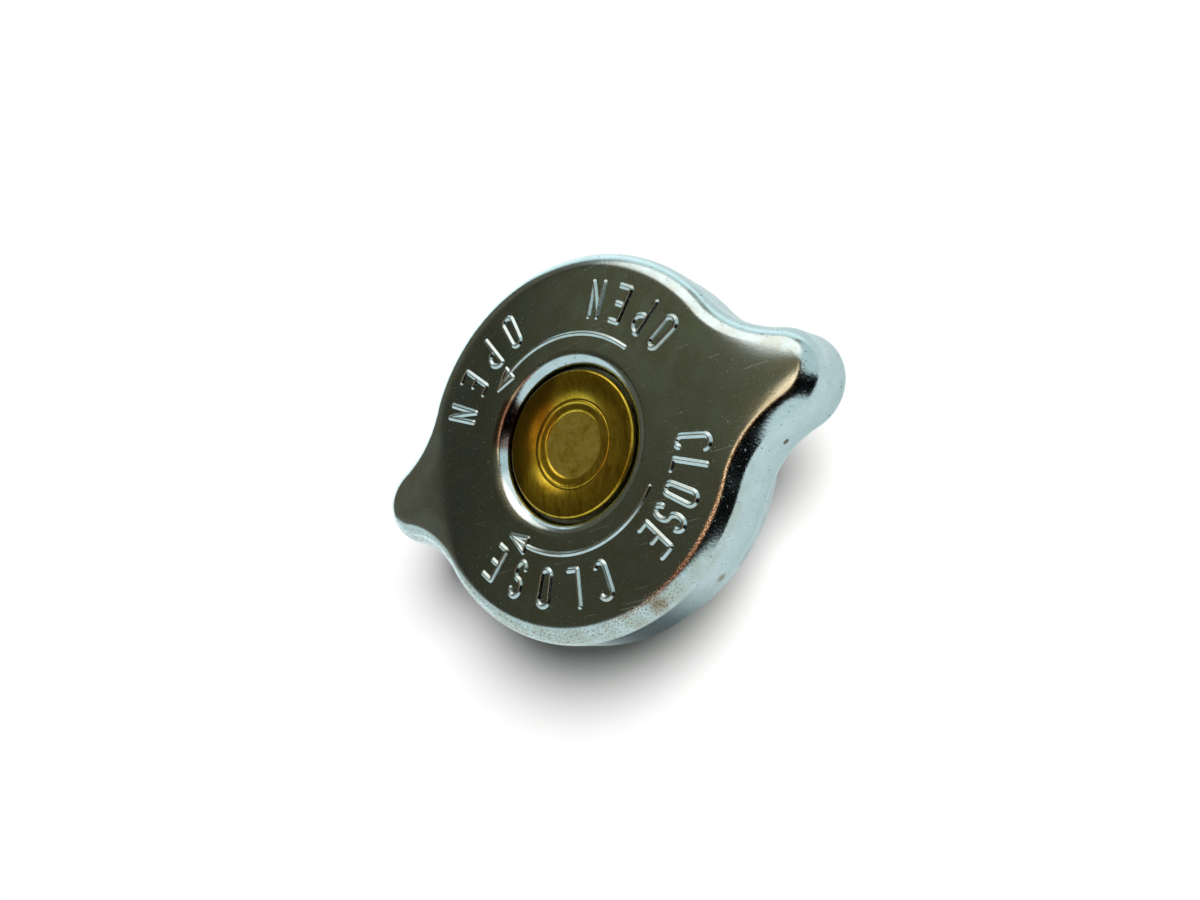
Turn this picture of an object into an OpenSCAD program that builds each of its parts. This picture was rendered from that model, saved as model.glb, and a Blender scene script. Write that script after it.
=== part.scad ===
// Bayonet radiator cap with two ears, a swivelling valve, a pressure valve and a vacuum valve.
// The origin is on the axis in the plane of the upper gasket's lower face, which rests on the filler neck.
// +Z runs up through the cover and +X runs along the ears.

/* [Cover] */
// Diameter of the round part of the cover
cover_d = 60; // [56:0.5:66]
// How far the centre of an ear's tip stands outside the round part
ear_offset = 3.7; // [3:0.1:5]
// Radius of an ear's tip
ear_r = 6.8; // [6:0.1:7.4]
// How far an ear's skirt leans out at its lower edge
ear_flare = 0.5; // [0:0.1:0.8]
// How far an ear's top bends down at its tip
ear_droop = 1.6; // [0:0.1:2]
// Radius of the hollow curve between an ear and the round part
hollow_r = 15.3; // [12:0.5:20]
// Thickness of the cover's sheet
cover_t = 1; // [0.8:0.1:1.2]
// Outer radius of the cover's rounded edge
edge_r = 3; // [2.4:0.1:4]
// Height of the cover from its lower edge to its flat top
cover_h = 9.6; // [9:0.1:11.5]
// Diameter of the hole in the middle of the cover
hole_d = 24; // [23:0.2:26]
// Outer radius of the hole's turned-down lip
lip_r = 2.3; // [1.8:0.1:2.6]
// Depth of the lip below the flat top
lip_h = 3; // [2.8:0.1:3.6]

/* [Bayonet plate] */
// Thickness of the plate's sheet
plate_t = 1.2; // [1:0.1:1.5]
// Gap between the cover's skirt and the plate's skirt
plate_gap = 0.1; // [0.05:0.05:0.3]
// Outer radius of the plate's rounded edge
plate_edge_r = 2.6; // [2:0.1:3.2]
// How far the plate's skirt stands out below the cover
plate_drop = 3.4; // [2:0.1:4]
// How far a claw reaches inwards from the skirt
claw_reach = 3.8; // [3:0.1:4.5]
// Angle that a claw covers
claw_angle = 50; // [30:1:70]

/* [Swivel rivet] */
// Gap between the rivet's head and the lip of the hole
head_gap = 0.5; // [0.4:0.1:1.2]
// Depth of the head's rim below the flat top
rim_drop = 1; // [0.6:0.1:1.2]
// Thickness of the head at its rim
rim_t = 0.9; // [0.7:0.1:1.1]
// Diameter of the ring where the dished head meets its recess
ring_d = 13.2; // [12.4:0.2:14]
// Depth of that ring below the flat top
ring_drop = 1.75; // [1.5:0.05:1.9]
// Diameter of the recess's floor
recess_d = 10.4; // [9:0.2:11]
// Depth of the recess's floor below the flat top
recess_drop = 2.5; // [2.2:0.1:2.7]
// Diameter of the rivet's shank
shank_d = 8; // [7:0.2:9]
// Radial clearance of everything that sits on the shank
shank_clear = 0.08; // [0.04:0.01:0.1]
// Play along the axis that lets the rivet turn in the plate
swivel_play = 0.15; // [0.1:0.05:0.3]
// How far the upset tail stands out beyond the shank
tail_flare = 1.6; // [1.2:0.1:2]
// Thickness of the upset tail
tail_t = 1.2; // [0.8:0.1:1.6]

/* [Neck seal] */
// Diameter of the thrust washer
washer_d = 20; // [16:0.5:24]
// Thickness of the thrust washer
washer_t = 0.5; // [0.4:0.1:0.8]
// Thickness of the diaphragm
diaphragm_t = 0.4; // [0.3:0.05:0.6]
// How far the diaphragm's rim is dished below its middle
dish_h = 0.6; // [0.4:0.1:1]
// Room between the plate's skirt and the upper seal
seal_gap = 2; // [1.2:0.1:2.6]
// Radial width of the upper gasket
neck_gasket_w = 5.5; // [4.5:0.1:6]
// Thickness of the upper gasket
neck_gasket_t = 2; // [1.6:0.1:2.6]

/* [Valve cage] */
// Outer diameter of the cage
cage_d = 31.2; // [29.6:0.2:33]
// Thickness of the cage's sheet
cage_t = 0.8; // [0.6:0.1:1]
// Outer radius of the cage's rounded shoulder
cage_edge_r = 1.6; // [1.2:0.1:2]
// How far the cage's lower lip reaches inwards
cage_lip = 3; // [2.6:0.1:3.4]
// Number of windows round the cage
window_count = 4; // [3:1:5]
// Angle that a window covers
window_angle = 52; // [30:1:58]
// Height of a window
window_h = 10; // [6:0.5:12]
// Depth of the neck's lower seat below its rim
seat_depth = 25.4; // [24.4:0.2:28]

/* [Pressure valve] */
// Travel of the valve
lift_travel = 3; // [2:0.1:3.4]
// Room left below the cage at full travel
lift_spare = 0.4; // [0.3:0.05:0.6]
// Radial gap between the cup and the cage
slide_gap = 0.4; // [0.3:0.05:0.5]
// Gap between the cup's flange and the cage's lip when shut
stop_play = 0.15; // [0.1:0.05:0.3]
// Thickness of the cup's sheet
cup_t = 0.8; // [0.6:0.1:1]
// Diameter of the lower plate
lower_plate_d = 36; // [34:0.5:38]
// Thickness of the lower plate
lower_plate_t = 0.8; // [0.6:0.1:1]
// Diameter of the port through the lower plate
port_d = 10; // [9.6:0.2:11]
// Thickness of the lower gasket below its plate
gasket_t = 3.4; // [3.2:0.1:4]
// Thickness of the lower gasket inside its thick ring
gasket_web_t = 1.2; // [1:0.1:1.4]
// Thickness of the gasket's wall round the plate's edge
gasket_wall = 0.9; // [0.7:0.1:1.2]
// How far the gasket grips in over the plate
gasket_grip = 1.2; // [0.8:0.1:1.4]
// Wire diameter of the pressure spring
spring_wire = 2; // [1.6:0.1:2.2]
// Turns of the pressure spring
spring_turns = 6; // [5:0.5:6.5]
// Thickness of the spring's upper seat
seat_t = 0.8; // [0.6:0.1:1]

/* [Vacuum valve] */
// Diameter of the disc
disc_d = 16.4; // [15:0.2:17.4]
// Thickness of the disc
disc_t = 0.9; // [0.7:0.1:1]
// Height of the disc's sealing rim
disc_rim_h = 0.4; // [0.3:0.05:0.5]
// Gap between the disc's rim and the gasket when shut
disc_play = 0.15; // [0.1:0.05:0.2]
// Radial room between the disc and the gasket's thick ring
disc_gap = 1.3; // [1:0.1:1.6]
// Diameter of the stem
stem_d = 3; // [2.6:0.1:3.2]
// Radial clearance of the stem in the cup's guide hole
stem_clear = 0.08; // [0.04:0.01:0.1]
// Wire diameter of the vacuum spring
vacuum_wire = 0.6; // [0.5:0.05:0.7]
// Mean diameter of the vacuum spring
vacuum_coil_d = 10; // [9.6:0.1:11]
// Height of the vacuum spring
vacuum_spring_h = 6.6; // [6:0.1:8]
// Turns of the vacuum spring
vacuum_turns = 5.5; // [5:0.5:6]
// Thickness of the clip that holds the vacuum spring
clip_t = 0.8; // [0.6:0.1:1]

/* [Hidden] */
$fn = 96;
// Gap that keeps a spring's end clear of its seat
SPRING_PLAY = 0.1;
// Overlap that joins a claw to the skirt
WELD = 0.5;
// Steps of the cover's surface along its arcs and round its bends
ROUND_STEPS = 28;
HOLLOW_STEPS = 7;
EAR_STEPS = 14;
BEND_STEPS = 4;
// Share of the cover's radius where the ears' tops start to bend down
DROOP_SHARE = 0.8;
// Shares of the way from the flat top's edge to the hole where the flat top has more points
FLAT_SHARES = [0.15, 0.3, 0.5];
// Pitch of a spring's closed end turns, in wire diameters
CLOSED_PITCH = 1.05;

// heights above the neck's rim
neck_gasket_z = neck_gasket_t;
diaphragm_z = neck_gasket_z + dish_h;
washer_z = diaphragm_z + diaphragm_t;
plate_z = washer_z + washer_t + swivel_play;
plate_top_z = plate_z + plate_t;
top_z = plate_top_z + lip_h;
cover_low_z = top_z - cover_h;
plate_low_z = cover_low_z - plate_drop;
head_low_z = plate_top_z + swivel_play;
cage_web_z = diaphragm_z - cage_t;
spring_top_z = cage_web_z - seat_t;
lower_plate_z = gasket_t - seat_depth;
cup_low_z = lower_plate_z + lower_plate_t;
cage_low_z = cup_low_z + lift_travel + lift_spare;
flange_z = cage_low_z + cage_t + stop_play;
spring_low_z = flange_z + cup_t;
gasket_web_z = lower_plate_z - gasket_web_t;
disc_z = gasket_web_z - disc_play - disc_rim_h - disc_t;
vacuum_low_z = cup_low_z + cup_t;
clip_z = vacuum_low_z + vacuum_spring_h;

// radii
cover_r = cover_d / 2;
hole_r = hole_d / 2;
plate_r = cover_r - cover_t - plate_gap;
plate_in_r = plate_r - plate_t;
head_r = hole_r - head_gap;
ring_r = ring_d / 2;
recess_r = recess_d / 2;
shank_r = shank_d / 2;
shank_hole_r = shank_r + shank_clear;
tail_r = shank_r + tail_flare;
seal_r = plate_in_r - seal_gap;
neck_gasket_in_r = seal_r - neck_gasket_w;
cage_r = cage_d / 2;
cage_in_r = cage_r - cage_t;
cage_mouth_r = cage_r - cage_lip;
cup_r = cage_mouth_r - slide_gap;
cup_in_r = cup_r - cup_t;
flange_r = cage_in_r - slide_gap;
spring_r = (cup_in_r + flange_r) / 2;
lower_plate_r = lower_plate_d / 2;
port_r = port_d / 2;
gasket_r = lower_plate_r + gasket_wall;
disc_r = disc_d / 2;
gasket_step_r = disc_r + disc_gap;
stem_r = stem_d / 2;
vacuum_coil_r = vacuum_coil_d / 2;

// centre and end of an ear's tip, and where its top starts to bend down
ear_x = cover_r + ear_offset;
tip_x = ear_x + ear_r;
droop_x = DROOP_SHARE * cover_r;

// small details
DISH_START = cage_r + 0.6;
SEAT_COLLAR_H = 1.6;
SEAT_COLLAR_GAP = 0.3;
SEAT_EDGE_GAP = 0.2;
FLOW_HOLES = 4;
FLOW_HOLE_R = 0.9;
FLOW_CIRCLE_R = (stem_r + vacuum_coil_r) / 2;
DISC_RIM_W = 0.8;
STEM_HEAD_R = 2 * stem_r;
STEM_HEAD_T = 0.3;
STEM_TAIL_R = stem_r + 0.7;
STEM_TAIL_T = 0.6;
CLIP_EDGE = 0.5;

// Section of a sheet bent through a right angle: a quarter ring in the first quadrant.
module bend(outer_r, thickness) {
    intersection() {
        difference() {
            circle(outer_r);
            circle(outer_r - thickness);
        }
        square(outer_r);
    }
}

// Rectangle of a section between two radii and two heights.
module band(in_r, out_r, low_z, high_z) {
    translate([in_r, low_z]) square([out_r - in_r, high_z - low_z]);
}

// Flat ring.
module ring(in_r, out_r, low_z, high_z) {
    rotate_extrude() band(in_r, out_r, low_z, high_z);
}

// Points along an arc without its last one, each with the direction that leads out of the cover there.
function arc(centre, r, from, to, count, out) = [
    for (i = [0 : count - 1])
        let (angle = from + (to - from) * i / count, way = [cos(angle), sin(angle)])
        [centre + r * way, out * way]
];

function half_turn(place) = [-place[0], -place[1]];

// Outline of the cover for a radius of its ears' tips: a hollow curve, an ear, a hollow curve and a
// round side, then the same after half a turn.
function cover_outline(tip_r) =
    let (
        hollow_x = (ear_x^2 + (cover_r + hollow_r)^2 - (tip_r + hollow_r)^2) / (2 * ear_x),
        hollow_y = sqrt((cover_r + hollow_r)^2 - hollow_x^2),
        round_angle = atan2(hollow_y, hollow_x),
        ear_angle = atan2(hollow_y, hollow_x - ear_x),
        half = concat(
            arc([hollow_x, -hollow_y], hollow_r, 180 - round_angle, 180 - ear_angle, HOLLOW_STEPS, -1),
            arc([ear_x, 0], tip_r, -ear_angle, ear_angle, EAR_STEPS, 1),
            arc([hollow_x, hollow_y], hollow_r, 180 + ear_angle, 180 + round_angle, HOLLOW_STEPS, -1),
            arc([0, 0], cover_r, round_angle, 180 - round_angle, ROUND_STEPS, 1)
        )
    )
    concat(half, [for (place = half) half_turn(place)]);

// Points round a bend, from one angle to another, as a distance across it and a height.
function bend_points(centre, r, from, to) = [
    for (i = [0 : BEND_STEPS])
        let (angle = from + (to - from) * i / BEND_STEPS)
        centre + r * [cos(angle), sin(angle)]
];

// A ring of points that follows the outline, moved in by an inset.
function edge_ring(outline, inset, z) = [
    for (place = outline) let (p = place[0] - inset * place[1]) [p.x, p.y, z]
];

// A ring of points some share of the way from one ring to another.
function ring_between(first, last, share) = [
    for (k = [0 : len(first) - 1]) first[k] + share * (last[k] - first[k])
];

// A ring of points bent down along the ears.
function drooped(points) = [
    for (p = points)
        let (share = max(0, abs(p.x) - droop_x) / (tip_x - droop_x))
        [p.x, p.y, p.z - ear_droop * share^2]
];

// A ring of points round the hole, in line with the points of the flat top's edge.
function hole_ring(outline, r, z) = [
    for (place = outline)
        let (p = place[0] - edge_r * place[1], q = r * p / norm(p))
        [q.x, q.y, z]
];

// One pressing: a closed section carried round the outline, from the skirt over the top to the
// hole's lip and back.
module cover_shell() {
    outline = cover_outline(ear_r);
    low_outline = cover_outline(ear_r + ear_flare);
    edge_low_z = top_z - edge_r;
    lip_low_z = top_z - lip_r;
    lip_edge = hole_r + lip_r;
    outer_edge = bend_points([edge_r, edge_low_z], edge_r, 180, 90);
    outer_lip = bend_points([lip_edge, lip_low_z], lip_r, 90, 180);
    inner_lip = bend_points([lip_edge, lip_low_z], lip_r - cover_t, 180, 90);
    inner_edge = bend_points([edge_r, edge_low_z], edge_r - cover_t, 90, 180);
    flat_edge = edge_ring(outline, edge_r, top_z);
    flat_hole = hole_ring(outline, lip_edge, top_z);
    flat_rings = [for (share = FLAT_SHARES) ring_between(flat_edge, flat_hole, share)];
    inner_rings = [
        for (i = [len(FLAT_SHARES) - 1 : -1 : 0]) [for (p = flat_rings[i]) p - [0, 0, cover_t]]
    ];
    rings = concat(
        [edge_ring(low_outline, 0, cover_low_z)],
        [for (q = outer_edge) drooped(edge_ring(outline, q.x, q.y))],
        [for (points = flat_rings) drooped(points)],
        [for (q = outer_lip) hole_ring(outline, q.x, q.y)],
        [hole_ring(outline, hole_r, plate_top_z), hole_ring(outline, hole_r + cover_t, plate_top_z)],
        [for (q = inner_lip) hole_ring(outline, q.x, q.y)],
        [for (points = inner_rings) drooped(points)],
        [for (q = inner_edge) drooped(edge_ring(outline, q.x, q.y))],
        [edge_ring(low_outline, cover_t, cover_low_z)]
    );
    count = len(outline);
    faces = [
        for (i = [0 : len(rings) - 1], k = [0 : count - 1])
            let (up = (i + 1) % len(rings), next = (k + 1) % count)
            each [
                [i * count + k, up * count + k, up * count + next],
                [i * count + k, up * count + next, i * count + next]
            ]
    ];
    color("lightsteelblue") polyhedron([for (points = rings) each points], faces, convexity = 6);
}

module bayonet_plate() {
    color("silver") {
        rotate_extrude() {
            band(shank_hole_r, plate_r - plate_edge_r, plate_z, plate_top_z);
            translate([plate_r - plate_edge_r, plate_top_z - plate_edge_r]) bend(plate_edge_r, plate_t);
            band(plate_in_r, plate_r, plate_low_z, plate_top_z - plate_edge_r);
        }
        for (side = [90, 270]) rotate(side - claw_angle / 2)
            rotate_extrude(angle = claw_angle)
                band(plate_in_r - claw_reach, plate_in_r + WELD, plate_low_z, plate_low_z + plate_t);
    }
}

module swivel_rivet() {
    rim = [head_r - rim_t / 2, top_z - rim_drop - rim_t / 2];
    color("goldenrod") rotate_extrude() polygon(concat(
        [
            [0, top_z - recess_drop],
            [recess_r, top_z - recess_drop],
            [ring_r, top_z - ring_drop]
        ],
        bend_points(rim, rim_t / 2, 90, -90),
        [
            [ring_r, head_low_z],
            [shank_r, head_low_z],
            [shank_r, cage_web_z],
            [tail_r, cage_web_z],
            [tail_r, cage_web_z - tail_t],
            [0, cage_web_z - tail_t]
        ]
    ));
}

module thrust_washer() {
    color("gray") ring(shank_hole_r, washer_d / 2, washer_z, washer_z + washer_t);
}

module diaphragm() {
    color("gold") rotate_extrude() polygon([
        [shank_hole_r, diaphragm_z],
        [DISH_START, diaphragm_z],
        [neck_gasket_in_r, neck_gasket_z],
        [seal_r, neck_gasket_z],
        [seal_r, neck_gasket_z + diaphragm_t],
        [neck_gasket_in_r, neck_gasket_z + diaphragm_t],
        [DISH_START, washer_z],
        [shank_hole_r, washer_z]
    ]);
}

module neck_gasket() {
    color("dimgray") ring(neck_gasket_in_r, seal_r, 0, neck_gasket_t);
}

module valve_cage() {
    window_z = (cage_low_z + diaphragm_z - window_h) / 2;
    color("darkgoldenrod") difference() {
        rotate_extrude() {
            band(shank_hole_r, cage_r - cage_edge_r, cage_web_z, diaphragm_z);
            translate([cage_r - cage_edge_r, diaphragm_z - cage_edge_r]) bend(cage_edge_r, cage_t);
            band(cage_in_r, cage_r, cage_low_z, diaphragm_z - cage_edge_r);
            band(cage_mouth_r, cage_in_r, cage_low_z, cage_low_z + cage_t);
        }
        for (i = [0 : window_count - 1]) rotate(i * 360 / window_count - window_angle / 2)
            rotate_extrude(angle = window_angle)
                band(cage_in_r - cage_t, cage_r + cage_t, window_z, window_z + window_h);
    }
}

module spring_seat() {
    collar_r = spring_r - spring_wire / 2 - SEAT_COLLAR_GAP;
    color("gray") rotate_extrude() {
        band(collar_r - seat_t, cage_r - cage_edge_r - SEAT_EDGE_GAP, spring_top_z, cage_web_z);
        band(collar_r - seat_t, collar_r, spring_top_z - SEAT_COLLAR_H, spring_top_z);
    }
}

// Height of a coil's centre line above its start after some turns, with one closed turn at each end.
function coil_rise(turn, turns, span, closed) =
    turn < 1 ? turn * closed
    : turn > turns - 1 ? span - (turns - turn) * closed
    : closed + (turn - 1) * (span - 2 * closed) / (turns - 2);

// Compression spring that fills the height between two seats.
module coil_spring(mean_r, wire_d, turns, low_z, high_z, turn_steps, sides) {
    steps = round(turns * turn_steps);
    span = high_z - low_z - wire_d - 2 * SPRING_PLAY;
    closed = CLOSED_PITCH * wire_d;
    start_z = low_z + wire_d / 2 + SPRING_PLAY;
    points = [
        for (i = [0 : steps], k = [0 : sides - 1])
            let (
                turn = turns * i / steps,
                around = 360 * k / sides,
                r = mean_r + wire_d / 2 * cos(around),
                z = start_z + coil_rise(turn, turns, span, closed) + wire_d / 2 * sin(around)
            )
            [r * cos(360 * turn), r * sin(360 * turn), z]
    ];
    walls = [
        for (i = [0 : steps - 1], k = [0 : sides - 1])
            let (next = (k + 1) % sides)
            [i * sides + k, i * sides + next, (i + 1) * sides + next, (i + 1) * sides + k]
    ];
    first_end = [for (k = [sides - 1 : -1 : 0]) k];
    last_end = [for (k = [0 : sides - 1]) steps * sides + k];
    polyhedron(points, concat(walls, [first_end, last_end]), convexity = 12);
}

module pressure_spring() {
    color("lightgray") coil_spring(spring_r, spring_wire, spring_turns, spring_low_z, spring_top_z,
                                   turn_steps = 24, sides = 8);
}

module lift_cup() {
    color("silver") difference() {
        rotate_extrude() {
            band(stem_r + stem_clear, cup_in_r, cup_low_z, vacuum_low_z);
            band(cup_in_r, cup_r, cup_low_z, spring_low_z);
            band(cup_r, flange_r, flange_z, spring_low_z);
        }
        for (i = [0 : FLOW_HOLES - 1]) rotate(i * 360 / FLOW_HOLES)
            translate([FLOW_CIRCLE_R, 0, cup_low_z - cup_t]) cylinder(h = 3 * cup_t, r = FLOW_HOLE_R);
    }
}

module lower_plate() {
    color("silver") ring(port_r, lower_plate_r, lower_plate_z, cup_low_z);
}

module pressure_gasket() {
    color("dimgray") rotate_extrude() {
        band(port_r, gasket_step_r, gasket_web_z, lower_plate_z);
        band(gasket_step_r, lower_plate_r, -seat_depth, lower_plate_z);
        band(lower_plate_r, gasket_r, -seat_depth, cup_low_z);
        band(lower_plate_r - gasket_grip, gasket_r, cup_low_z, cup_low_z + gasket_wall);
    }
}

module vacuum_disc() {
    color("goldenrod") rotate_extrude() {
        band(stem_r, disc_r, disc_z, disc_z + disc_t);
        band(disc_r - DISC_RIM_W, disc_r, disc_z + disc_t, disc_z + disc_t + disc_rim_h);
    }
}

module vacuum_stem() {
    color("goldenrod") rotate_extrude() {
        band(0, STEM_HEAD_R, disc_z - STEM_HEAD_T, disc_z);
        band(0, stem_r, disc_z, clip_z + clip_t);
        band(0, STEM_TAIL_R, clip_z + clip_t, clip_z + clip_t + STEM_TAIL_T);
    }
}

module vacuum_spring() {
    color("lightgray") coil_spring(vacuum_coil_r, vacuum_wire, vacuum_turns, vacuum_low_z, clip_z,
                                   turn_steps = 20, sides = 6);
}

module vacuum_clip() {
    color("goldenrod")
        ring(stem_r, vacuum_coil_r + vacuum_wire / 2 + CLIP_EDGE, clip_z, clip_z + clip_t);
}

cover_shell();
bayonet_plate();
swivel_rivet();
thrust_washer();
diaphragm();
neck_gasket();
valve_cage();
spring_seat();
pressure_spring();
lift_cup();
lower_plate();
pressure_gasket();
vacuum_disc();
vacuum_stem();
vacuum_spring();
vacuum_clip();
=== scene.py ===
# %% [markdown]
# # A radiator cap with two ears
# The cap is a zinc-plated pressing over a bayonet plate, with a brass rivet in its middle that carries the valve.
# The packed CAD model comes in first as a fixed frame. Every piece made below is in metres in that same frame,
# with +Z up through the cover and +X along the ears, and it rides on one of the frame's bodies.

import bpy
import numpy as np
from mathutils import Matrix, Vector


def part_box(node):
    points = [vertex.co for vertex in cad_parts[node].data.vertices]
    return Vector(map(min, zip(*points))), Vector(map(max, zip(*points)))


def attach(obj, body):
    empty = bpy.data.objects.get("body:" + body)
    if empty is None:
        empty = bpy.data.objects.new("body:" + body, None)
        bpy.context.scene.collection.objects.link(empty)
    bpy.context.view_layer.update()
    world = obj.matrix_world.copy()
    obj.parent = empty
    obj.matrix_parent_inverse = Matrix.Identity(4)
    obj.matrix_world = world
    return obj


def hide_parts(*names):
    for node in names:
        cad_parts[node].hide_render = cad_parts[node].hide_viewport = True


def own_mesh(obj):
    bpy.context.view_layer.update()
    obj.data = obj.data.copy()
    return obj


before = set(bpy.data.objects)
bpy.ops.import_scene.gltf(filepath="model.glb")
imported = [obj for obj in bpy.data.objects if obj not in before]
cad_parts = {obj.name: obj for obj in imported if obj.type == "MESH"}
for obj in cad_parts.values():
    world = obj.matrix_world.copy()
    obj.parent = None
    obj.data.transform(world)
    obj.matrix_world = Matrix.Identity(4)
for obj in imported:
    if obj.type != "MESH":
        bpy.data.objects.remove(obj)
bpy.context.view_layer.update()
MM = 0.001

# %% [markdown]
# ## Sizes
# The source of the part can't be read from here, so the sizes that the finer pieces need are repeated in millimetres.
# Heights count from the rim of the filler neck, which is the origin of the frame.

# %% Sizes of the pressing and the rivet
COVER_R, EAR_OFFSET, EAR_R, EAR_FLARE, HOLLOW_R = 30.0, 3.7, 6.8, 0.5, 15.3
EAR_DROOP, DROOP_X, TIP_X = 1.6, 24.0, COVER_R + EAR_OFFSET + EAR_R
EAR_CROWN, CROWN_HALF = 0.6, 3.8
COVER_T, EDGE_R, COVER_H, HOLE_R, LIP_R, LIP_H = 1.0, 3.0, 9.6, 12.0, 2.3, 3.0
TOP_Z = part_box("cover_shell")[1].z / MM
COVER_LOW_Z, PLATE_TOP_Z = TOP_Z - COVER_H, TOP_Z - LIP_H
FLOOR_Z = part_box("pressure_gasket")[0].z / MM
print(f"flat top at {TOP_Z:.2f} mm, skirt down to {COVER_LOW_Z:.2f} mm, floor at {FLOOR_Z:.2f} mm")

# %% [markdown]
# ## Camera
# The photograph looks down on the cap from the side, 36 degrees off its axis. Four numbers place the cap in front of
# the lens and three angles turn it; the camera is the same turn undone. A focal length of 977 pixels in a frame that
# is 1200 pixels wide is a lens of 29.3 mm on a 36 mm sensor.

# %% Camera at the photograph's viewing angle
TILT, TURN, ROLL = -0.1584, -0.6175, 0.2929
CAP_IN_VIEW = np.array([-5.1994, 1.1748, -146.5746])
FOCAL_PX, FRAME_PX, SENSOR = 976.8, 1200, 36.0


def turn(axis, angle):
    """Matrix that turns a vector by an angle, in radians, about the x, y or z axis."""
    return np.array(Matrix.Rotation(angle, 3, axis))


to_view = turn("Y", TURN) @ turn("X", TILT) @ turn("Z", ROLL)
camera_place = (np.array([0, 0, TOP_Z]) - to_view.T @ CAP_IN_VIEW) * MM
camera = bpy.data.objects.new("camera", bpy.data.cameras.new("camera"))
camera.matrix_world = Matrix.Translation(camera_place.tolist()) @ Matrix(to_view.T.tolist()).to_4x4()
camera.data.sensor_width = SENSOR
camera.data.lens = FOCAL_PX / FRAME_PX * SENSOR
camera.data.clip_start, camera.data.clip_end = 0.01, 20
bpy.context.scene.collection.objects.link(camera)
bpy.context.scene.camera = camera
print("camera at", np.round(camera_place / MM, 1), "mm")

# %% [markdown]
# ## Wires for shaders
# A shader is a sum of small steps, so it reads best as arithmetic. This class holds one socket. Adding or multiplying
# two of them adds a Math node, `1 - mask` works too, and any other node comes from the one method `node`. Node trees
# could be wired link by link instead, but then a sum of three masks takes nine lines and hides what it says.


# %% A socket that can be calculated with
class Wire:
    """An output socket of a node tree. Arithmetic on wires and numbers adds Math nodes."""

    def __init__(self, tree, socket):
        self.tree, self.socket = tree, socket

    def node(self, kind, settings=None, inputs=None, out=0):
        """Adds a node of that kind, sets its settings first and then its sockets, and gives one of its outputs."""
        made = self.tree.nodes.new(kind)
        for name, value in (settings or {}).items():
            setattr(made, name, value)
        for key, value in (inputs or {}).items():
            if isinstance(value, Wire):
                self.tree.links.new(value.socket, made.inputs[key])
            else:
                made.inputs[key].default_value = value
        return Wire(self.tree, made.outputs[out])

    def math(self, operation, *values):
        return self.node("ShaderNodeMath", {"operation": operation}, dict(enumerate(values)))

    def __add__(self, other):
        return self.math("ADD", self, other)

    def __radd__(self, other):
        return self.math("ADD", other, self)

    def __sub__(self, other):
        return self.math("SUBTRACT", self, other)

    def __rsub__(self, other):
        return self.math("SUBTRACT", other, self)

    def __mul__(self, other):
        return self.math("MULTIPLY", self, other)

    def __rmul__(self, other):
        return self.math("MULTIPLY", other, self)

    def __truediv__(self, other):
        return self.math("DIVIDE", self, other)

    def step(self, low, high):
        """0 below low, 1 above high and a smooth rise between them. With low above high it falls instead."""
        if low > high:
            return 1 - self.step(high, low)
        settings = {"interpolation_type": "SMOOTHSTEP"}
        return self.node("ShaderNodeMapRange", settings, {"Value": self, "From Min": low, "From Max": high})

    def noise(self, scale, detail=2.0, roughness=0.5, distortion=0.0):
        """A cloudy value about 0.5, with that many lumps to a unit of length along this vector."""
        inputs = {"Vector": self, "Scale": scale, "Detail": detail, "Roughness": roughness, "Distortion": distortion}
        return self.node("ShaderNodeTexNoise", {}, inputs)

    def stretch(self, factors, turned=(0.0, 0.0, 0.0)):
        """This vector turned and then multiplied, so that a pattern on it comes out stretched."""
        return self.node("ShaderNodeMapping", {"vector_type": "POINT"},
                         {"Vector": self, "Rotation": turned, "Scale": factors})

    def near(self, place, reach):
        """1 at a place and 0 from a reach away on."""
        apart = self.node("ShaderNodeVectorMath", {"operation": "DISTANCE"}, {0: self, 1: place}, "Value")
        return apart.step(reach, 0.0)

    def angle_from(self, direction):
        """Angle in degrees between this unit vector and a direction."""
        unit = np.array(direction) / np.linalg.norm(direction)
        return self.math("ARCCOSINE", self.along(unit.tolist())) * (180 / np.pi)

    def along(self, direction):
        """How far this vector goes along a direction."""
        return self.node("ShaderNodeVectorMath", {"operation": "DOT_PRODUCT"}, {0: self, 1: direction}, "Value")

    def blend(self, first, second):
        """Colour that goes from the first to the second as this value goes from 0 to 1."""
        sides = {0: self, 6: colour_of(first), 7: colour_of(second)}
        return self.node("ShaderNodeMix", {"data_type": "RGBA"}, sides, 2)


def colour_of(value):
    """Three numbers as a colour with its alpha; a wire stays as it is."""
    return value if isinstance(value, Wire) else (*value, 1.0)


def layered(base, layers):
    """Layers, each a mask and a colour, laid one after the other over a base colour."""
    for mask, colour in layers:
        base = mask.blend(base, colour)
    return base


print("wires have", len([name for name in vars(Wire) if not name.startswith("__")]), "named methods")

# %% [markdown]
# ## World
# Bright metal shows what stands round it. The photograph was taken in a white space with a dark room behind the lens:
# the flat top mirrors that room, and every rounded edge mirrors the white. The world is laid out in angles about the
# lens. `sweep` runs from the lens towards the side that the flat top mirrors, and `rise` runs up across that.
# A photograph of a room wrapped round the scene could do the same, but angles keep each light where it is needed.

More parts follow.
